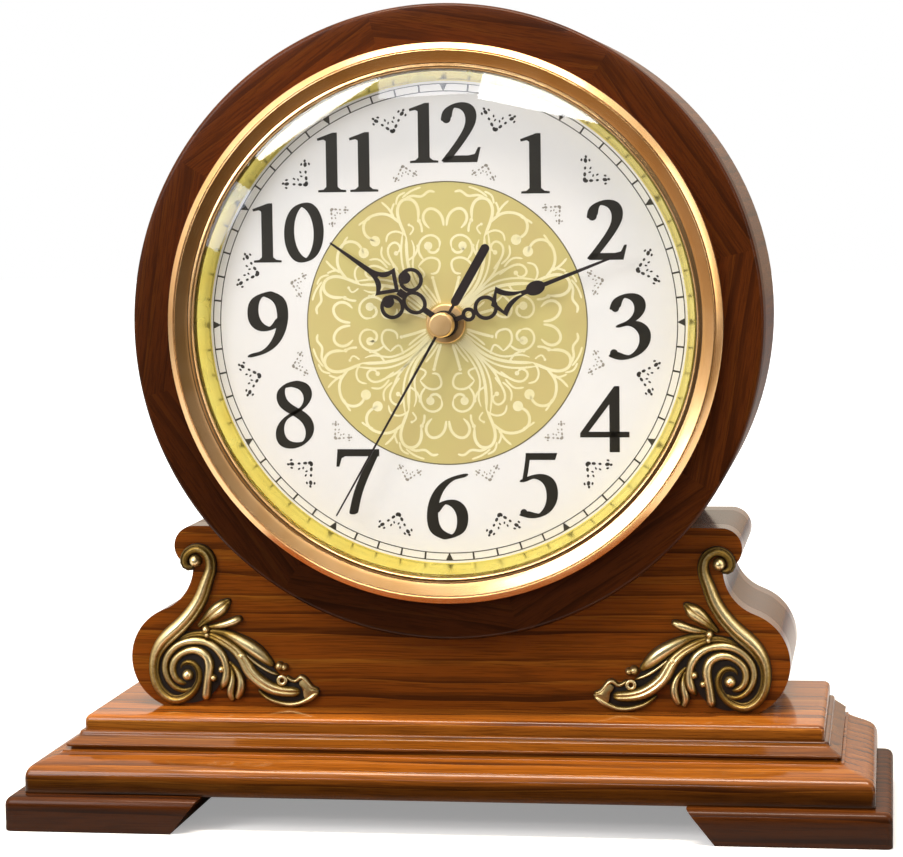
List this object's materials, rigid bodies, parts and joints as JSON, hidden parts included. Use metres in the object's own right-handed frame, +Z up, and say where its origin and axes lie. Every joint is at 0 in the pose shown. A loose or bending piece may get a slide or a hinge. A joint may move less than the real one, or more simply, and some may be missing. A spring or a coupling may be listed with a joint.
{
  "type": "wooden mantel clock",
  "caption": "Wooden mantel clock: round drum case with brass bezel and domed glass on a scrolled waist with brass scrollwork and a stepped plinth; battery quartz movement with three hands.",
  "frame": {"origin": "on the floor, under the middle of the clock's width and depth", "axes": "+X to the right as seen from the front, +Y to the back, +Z up; the dial faces -Y"},
  "size_m": [0.3, 0.11, 0.2787],
  "materials": {
    "walnut": "clear gloss lacquer over red-brown stained oak",
    "polished_brass": "polished and lacquered",
    "antique_brass": "cast, dark in the recesses and rubbed bright on top",
    "clear_glass": "clear domed glass",
    "printed_dial": "off-white print, satin",
    "fibreboard": "plain brown fibreboard",
    "black_enamel": "satin black",
    "steel": "zinc plated",
    "black_plastic": "moulded, matte",
    "white_plastic": "natural acetal",
    "motor_iron": "bare soft iron",
    "copper_wire": "enamelled copper winding",
    "magnet": "bonded magnet",
    "circuit_laminate": "green laminate",
    "battery_jacket": "plain dark jacket"
  },
  "bodies": {
    "case": {"foot_right": "walnut", "foot_left": "walnut", "foot_screws": "steel", "plinth_lower": "walnut", "plinth_moulding": "walnut", "plinth_top": "walnut", "plinth_screws": "steel", "waist_front": "walnut", "waist_back": "walnut", "waist_side_right": "walnut", "waist_side_left": "walnut", "case_ring": "walnut", "drum_shell": "walnut", "back_cover": "fibreboard", "back_cover_screws": "steel", "bezel": "polished_brass", "glass_lens": "clear_glass", "dial_cone": "polished_brass", "dial": "printed_dial", "dial_backing": "fibreboard", "applique_right": "antique_brass", "applique_left": "antique_brass", "centre_nut": "polished_brass", "movement_case_front": "black_plastic", "movement_case_back": "black_plastic", "train_plate": "white_plastic", "motor_stator": "motor_iron", "coil_core": "motor_iron", "coil_bobbin": "white_plastic", "coil_winding": "copper_wire", "circuit_board": "circuit_laminate", "battery_contact_left": "steel", "battery_contact_right": "steel"},
    "second_set": {"second_hand": "black_enamel", "second_cap": "polished_brass", "second_wheel": "white_plastic"},
    "minute_set": {"minute_hand": "black_enamel", "minute_arbor": "white_plastic"},
    "hour_set": {"hour_hand": "black_enamel", "hour_wheel": "white_plastic"},
    "motion_set": {"motion_wheel": "white_plastic", "setting_knob": "white_plastic"},
    "motor_rotor": {"rotor": "magnet"},
    "step_wheel": {"intermediate_wheel": "white_plastic"},
    "third_set": {"third_wheel": "white_plastic"},
    "centre_set": {"centre_wheel": "white_plastic"},
    "battery_cell": {"battery": "battery_jacket"}
  },
  "joints": [
    {"name": "second_hand_turn", "type": "hinge", "parent": "case", "child": "second_set", "pos_m": [0, 0, 0.171], "axis": [0, 1, 0], "continuous": true},
    {"name": "minute_hand_turn", "type": "hinge", "parent": "case", "child": "minute_set", "pos_m": [0, 0, 0.171], "axis": [0, 1, 0], "continuous": true},
    {"name": "hour_hand_turn", "type": "hinge", "parent": "case", "child": "hour_set", "pos_m": [0, 0, 0.171], "axis": [0, 1, 0], "continuous": true},
    {"name": "motion_wheel_turn", "type": "hinge", "parent": "case", "child": "motion_set", "pos_m": [0.01128, 0, 0.1751], "axis": [0, 1, 0], "continuous": true},
    {"name": "rotor_turn", "type": "hinge", "parent": "case", "child": "motor_rotor", "pos_m": [0.00296, 0, 0.18422], "axis": [0, 1, 0], "continuous": true},
    {"name": "intermediate_wheel_turn", "type": "hinge", "parent": "case", "child": "step_wheel", "pos_m": [0.00405, 0, 0.17801], "axis": [0, 1, 0], "continuous": true},
    {"name": "third_wheel_turn", "type": "hinge", "parent": "case", "child": "third_set", "pos_m": [-0.01083, 0, 0.17494], "axis": [0, 1, 0], "continuous": true},
    {"name": "centre_wheel_turn", "type": "hinge", "parent": "case", "child": "centre_set", "pos_m": [0, 0, 0.171], "axis": [0, 1, 0], "continuous": true},
    {"name": "battery_slide", "type": "slide", "parent": "case", "child": "battery_cell", "axis": [0, 1, 0], "range_m": [0, 0.075]}
  ],
  "couplings": [
    {"joint": "intermediate_wheel_turn", "follows": "second_hand_turn", "ratio": -5},
    {"joint": "rotor_turn", "follows": "second_hand_turn", "ratio": 30},
    {"joint": "third_wheel_turn", "follows": "second_hand_turn", "ratio": -0.13333},
    {"joint": "centre_wheel_turn", "follows": "second_hand_turn", "ratio": 0.016667},
    {"joint": "motion_wheel_turn", "follows": "minute_hand_turn", "ratio": -0.33333},
    {"joint": "hour_hand_turn", "follows": "minute_hand_turn", "ratio": 0.083333}
  ]
}
